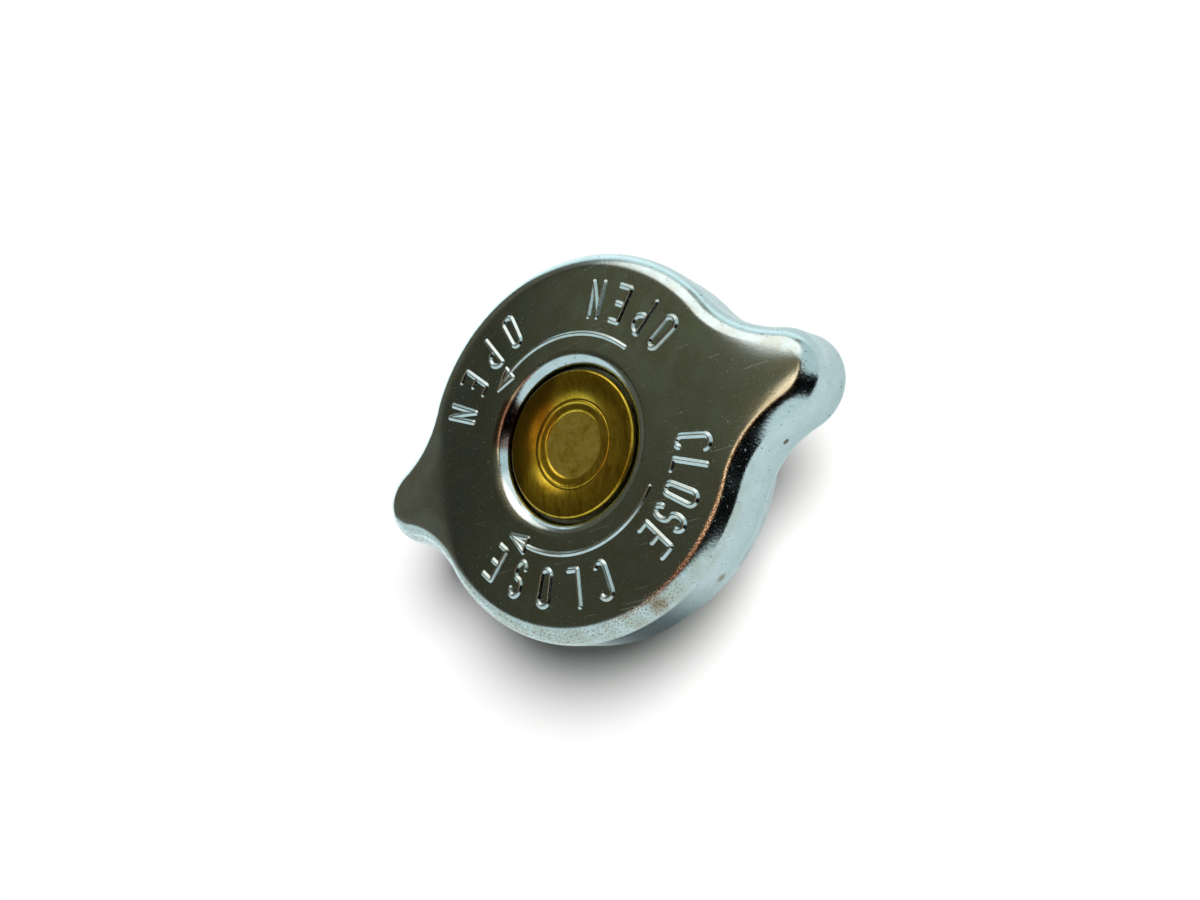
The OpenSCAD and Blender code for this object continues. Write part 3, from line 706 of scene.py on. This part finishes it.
# %% [markdown]
# ## Brass
# The rivet's head is brass that has gone brown with age, in soft clouds and streaks, with painted shade on one side.
# The floor of its recess was struck with a rough punch, so it is duller and paler, with scuffs. A cleaner and paler
# brass is on the diaphragm, the cage and the vacuum valve. The marks could be painted, but noise keeps them on every
# side.


# %% Aged brass
BRASS_GOLD, BRASS_BROWN, BRASS_PALE = (0.58, 0.42, 0.045), (0.33, 0.19, 0.008), (0.62, 0.49, 0.10)
STREAK_BROWN, SCUFF_PALE = (0.25, 0.135, 0.006), (0.80, 0.67, 0.21)
SHADY_BROWN, SPOT_BROWN = (0.17, 0.105, 0.008), (0.20, 0.13, 0.04)
SHADY_SIDE, RECESS_R, STRUCK_FADE, BRASS_BUMP = (-0.85, 0.53, 0.0), 5.2, 0.35, 0.025


def brass_finish(name, gold, brown, age, struck_r):
    """Brass with cloudy brown age marks; age is their share. Inside a radius it is struck, dull and pale. A radius of
    0 stands for a piece that isn't struck, and that has no shady side either."""
    material, shader, place = new_finish(name, 1.0)
    flat_place = place.stretch((1.0, 1.0, 0.0))
    radius = place.node("ShaderNodeVectorMath", {"operation": "LENGTH"}, {0: flat_place}, "Value")
    struck = radius.step(struck_r, struck_r - STRUCK_FADE)
    # painted shade: the rivet's head is made darker on one side
    shady = place.along(SHADY_SIDE).step(5.4, 7.4) * (0.8 if struck_r else 0.0)
    cloudy, fine = place.noise(0.30, 4.0, 0.6), place.noise(3.4, 3.0, 0.6)
    marks = place.noise(0.42, 3.0, 0.55, 1.6)
    streaks = place.stretch((1.5, 0.35, 1.0), (0, 0, 0.5)).noise(1.0, 4.0, 0.6).step(0.46, 0.66)
    scuffs = place.stretch((0.7, 1.9, 1.0), (0, 0, 0.9)).noise(1.0, 4.0, 0.66, 0.9).step(0.46, 0.68)
    spots = place.noise(1.5, 2.0, 0.6).step(0.66, 0.74)
    aged = cloudy.step(0.70 - age * 0.4, 0.80 - age * 0.1).blend(gold, brown)
    colour = layered(aged, [(streaks * age * 0.8, STREAK_BROWN), (struck * marks.step(0.30, 0.60), BRASS_PALE),
                            (struck * scuffs * 0.45, SCUFF_PALE), (shady, SHADY_BROWN), (spots * 0.5, SPOT_BROWN)])
    rough = 0.15 + cloudy * 0.12 + fine * 0.04 + struck * (0.12 + marks * 0.12)
    bumps = bumped(fine * 0.4 + struck * marks * 0.5, BRASS_BUMP)
    feed(shader, Base_Color=colour, Roughness=rough, Normal=bumps)
    return material


brass = brass_finish("aged_brass", BRASS_GOLD, BRASS_BROWN, 0.55, RECESS_R)
print("aged brass has", len(brass.node_tree.nodes), "nodes")

# %% [markdown]
# ## Rivet
# The rivet is turned and upset, so it is round: a section spun about the axis. A Screw modifier could spin it too, but
# arrays leave a plain mesh. The dish sweeps down to a narrow ridge, and inside it a short slope leads to the flat
# floor. The shank and the tail keep the source's sizes. The first and last points of the section lie on the axis,
# where one vertex each closes the surface.

# %% A section spun about the axis
def spun(section, columns=180):
    """Section of radius and height points, from the axis round to the axis, spun about it: x and y are the radius
    times cosine and sine. The two points on the axis become one vertex each, with a fan of triangles."""
    t = np.linspace(0, 2 * np.pi, columns, endpoint=False)
    ring = section[1:-1]
    r, z = ring[:, 0, None], ring[:, 1, None]
    points = np.stack(np.broadcast_arrays(r * np.cos(t), r * np.sin(t), z), -1).reshape(-1, 3)
    poles = np.array([(0, 0, section[0, 1]), (0, 0, section[-1, 1])])
    here = np.arange(columns)
    there, last, top = np.roll(here, -1), (len(ring) - 1) * columns, len(points)
    fans = [*np.c_[np.full(columns, top), here, there], *np.c_[np.full(columns, top + 1), last + there, last + here]]
    walls = grid_faces(len(ring), columns, False, True)[:, ::-1]
    return np.concatenate([points, poles]), [*walls, *fans]


tip_count = len(spun(np.array([(0, 1), (1, 0), (0, -1)]), 12)[0])
print("a double cone of 12 columns has", tip_count, "points")

# %% Rivet
RIM_R, RIM_T, RIM_DROP, RING_R, RING_DROP, RECESS_DROP = 11.5, 0.9, 1.0, 6.6, 1.75, 2.1
SHANK_R, TAIL_R, TAIL_T, TAIL_ROUND, HEAD_GAP = 4.0, 5.6, 1.2, 0.3, 0.15
RIDGE_ROUND, RIDGE_HALF, RIDGE_SINK, RUN_GAP, DISH_POWER = 0.2, 0.35, 0.12, 0.02, 2.2
HEAD_LOW_Z = PLATE_TOP_Z + HEAD_GAP
rivet_low_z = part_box("swivel_rivet")[0].z / MM
floor_z, ring_z = TOP_Z - RECESS_DROP, TOP_Z - RING_DROP
rim_centre = (RIM_R - RIM_T / 2, TOP_Z - RIM_DROP - RIM_T / 2)
dish_share = np.linspace(0, 1, 26)
dish_r = RING_R + RIDGE_HALF + dish_share * (rim_centre[0] - RING_R - RIDGE_HALF)
dish_z = TOP_Z - RIM_DROP - (RING_DROP - RIM_DROP) * (1 - dish_share) ** DISH_POWER
rivet_section = np.concatenate([
    [(0.0, floor_z)],
    line((0.0, floor_z), (RECESS_R - RIDGE_ROUND - RUN_GAP, floor_z), 8),
    bend((RECESS_R - RIDGE_ROUND, floor_z + RIDGE_ROUND), RIDGE_ROUND, -90, -45, 5),
    line((RECESS_R + RUN_GAP, floor_z + RIDGE_SINK), (RING_R - RIDGE_ROUND, ring_z - RUN_GAP), 6),
    bend((RING_R + RUN_GAP, ring_z - RIDGE_SINK), RIDGE_ROUND, 128, 56, 9),
    np.stack([dish_r, dish_z], 1),
    bend(rim_centre, RIM_T / 2, 84, -90, 14),
    [(RING_R, HEAD_LOW_Z), (SHANK_R, HEAD_LOW_Z), (SHANK_R, rivet_low_z + TAIL_T), (TAIL_R, rivet_low_z + TAIL_T)],
    bend((TAIL_R - TAIL_ROUND, rivet_low_z + TAIL_ROUND), TAIL_ROUND, 0, -90, 6),
    [(0.0, rivet_low_z)]])
rivet = piece("rivet_head", *spun(rivet_section), "valve_carrier", "brass", brass)
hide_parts("swivel_rivet")
print("rivet:", len(rivet.data.polygons), "faces")

# %% [markdown]
# ## Springs
# A spring is a round wire on a helix whose first and last turns lie closed. The CAD model has it with flat sides; here
# the wire is round. A bevelled curve could make the same, but arrays give closed ends at once.

# %% Drawn wire
WIRE_LIGHT, WIRE_DARK, FINE_BUMP = (0.50, 0.51, 0.52), (0.36, 0.35, 0.33), 0.01
wire_steel, wire_shader, wire_place = new_finish("spring_wire", 1.0)
drawn = wire_place.noise(2.2, 3.0)
feed(wire_shader, Base_Color=drawn.step(0.35, 0.7).blend(WIRE_LIGHT, WIRE_DARK), Roughness=0.28 + drawn * 0.12,
     Normal=bumped(drawn, FINE_BUMP))
print("spring wire has", len(wire_steel.node_tree.nodes), "nodes")

# %% Springs
CLOSED_PITCH, STEPS_A_TURN, WIRE_SIDES = 1.05, 72, 18


def coil(name, node, mean_r, wire, turns, body):
    """Helix of a round wire between the heights of a CAD node. The rise per turn is just over a wire in the first and
    last turn and even between them; across the wire, radius and height follow cosine and sine."""
    low, high = (corner.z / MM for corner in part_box(node))
    span, closed = high - low - wire, CLOSED_PITCH * wire
    turn_at = np.linspace(0, turns, int(turns * STEPS_A_TURN) + 1)
    lift = np.interp(turn_at, [0, 1, turns - 1, turns], [0, closed, span - closed, span])
    around = np.linspace(0, 2 * np.pi, WIRE_SIDES, endpoint=False)
    r = mean_r + wire / 2 * np.cos(around)[None]
    z = (low + wire / 2 + lift)[:, None] + wire / 2 * np.sin(around)[None]
    t = (2 * np.pi * turn_at)[:, None]
    rows = np.stack([r * np.cos(t), r * np.sin(t), z], -1)
    count, columns = rows.shape[:2]
    ends = [list(range(columns)), list(range((count - 1) * columns, count * columns))[::-1]]
    faces = grid_faces(count, columns, False, True)[:, ::-1].tolist() + ends
    made = piece(name, rows.reshape(-1, 3), faces, body, "spring_steel", wire_steel)
    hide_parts(node)
    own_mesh(made)
    return made


main_spring = coil("pressure_coil", "pressure_spring", mean_r=12.9, wire=2.0, turns=6, body="valve_carrier")
small_spring = coil("vacuum_coil", "vacuum_spring", mean_r=5.0, wire=0.6, turns=5.5, body="pressure_valve")
print("springs:", len(main_spring.data.polygons), "and", len(small_spring.data.polygons), "faces")

# %% [markdown]
# ## Finishes for the solids that stay
# The plate, gaskets and pressed pieces of the valve have their true shapes in the CAD model, so they only need their
# finishes: duller zinc on the bayonet plate, satin steel, brass, and matt black rubber with a moulded skin. They could
# be modelled again, but a finish in the solid's own slot keeps the two models alike.

# %% Steel, plate zinc and rubber
STEEL_LIGHT, STEEL_DARK = (0.60, 0.61, 0.61), (0.48, 0.48, 0.47)
PLATE_LIGHT, PLATE_DARK = (0.50, 0.57, 0.58), (0.41, 0.47, 0.47)
RUBBER_BLACK, RUBBER_GREY, SATIN, SKIN_BUMP = (0.018, 0.018, 0.018), (0.042, 0.041, 0.039), 0.26, 0.02


def steel_finish(name, light, dark, rough):
    """Satin steel: two greys in cloudy patches, with fine grain in the gloss."""
    material, shader, place = new_finish(name, 1.0)
    patch, fine = place.noise(0.4, 3.0), place.noise(4.0, 2.0)
    feed(shader, Base_Color=patch.step(0.35, 0.7).blend(light, dark), Roughness=rough + fine * 0.12,
         Normal=bumped(fine, FINE_BUMP))
    return material


satin_steel = steel_finish("satin_steel", STEEL_LIGHT, STEEL_DARK, SATIN)
plate_zinc = steel_finish("plate_zinc", PLATE_LIGHT, PLATE_DARK, SATIN)
rubber, rubber_shader, rubber_place = new_finish("black_rubber", 0.0)
skin, bloom = rubber_place.noise(5.0, 3.0), rubber_place.noise(0.5, 2.0)
feed(rubber_shader, Base_Color=bloom.blend(RUBBER_BLACK, RUBBER_GREY), Roughness=0.55 + skin * 0.25,
     Normal=bumped(skin, SKIN_BUMP))
print("rubber has", len(rubber.node_tree.nodes), "nodes")

# %% Finishes in the slots of the CAD nodes
VALVE_GOLD, VALVE_BROWN = (0.60, 0.45, 0.17), (0.42, 0.29, 0.09)
valve_brass = brass_finish("valve_brass", VALVE_GOLD, VALVE_BROWN, 0.2, 0.0)
FINISHES = {"bayonet_plate": plate_zinc, "thrust_washer": satin_steel, "spring_seat": satin_steel,
            "lift_cup": satin_steel, "lower_plate": satin_steel, "neck_gasket": rubber, "pressure_gasket": rubber,
            "diaphragm": valve_brass, "valve_cage": valve_brass, "vacuum_disc": valve_brass,
            "vacuum_stem": valve_brass, "vacuum_clip": valve_brass}
for node_name, finish_of_node in FINISHES.items():
    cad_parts[node_name].data.materials.clear()
    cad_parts[node_name].data.materials.append(finish_of_node)
print("finishes on", len(FINISHES), "CAD nodes")

# %% [markdown]
# ## Close
# The picture is shown as it is calculated, with no film look over it.

# %% View settings
bpy.context.scene.view_settings.view_transform = "Standard"
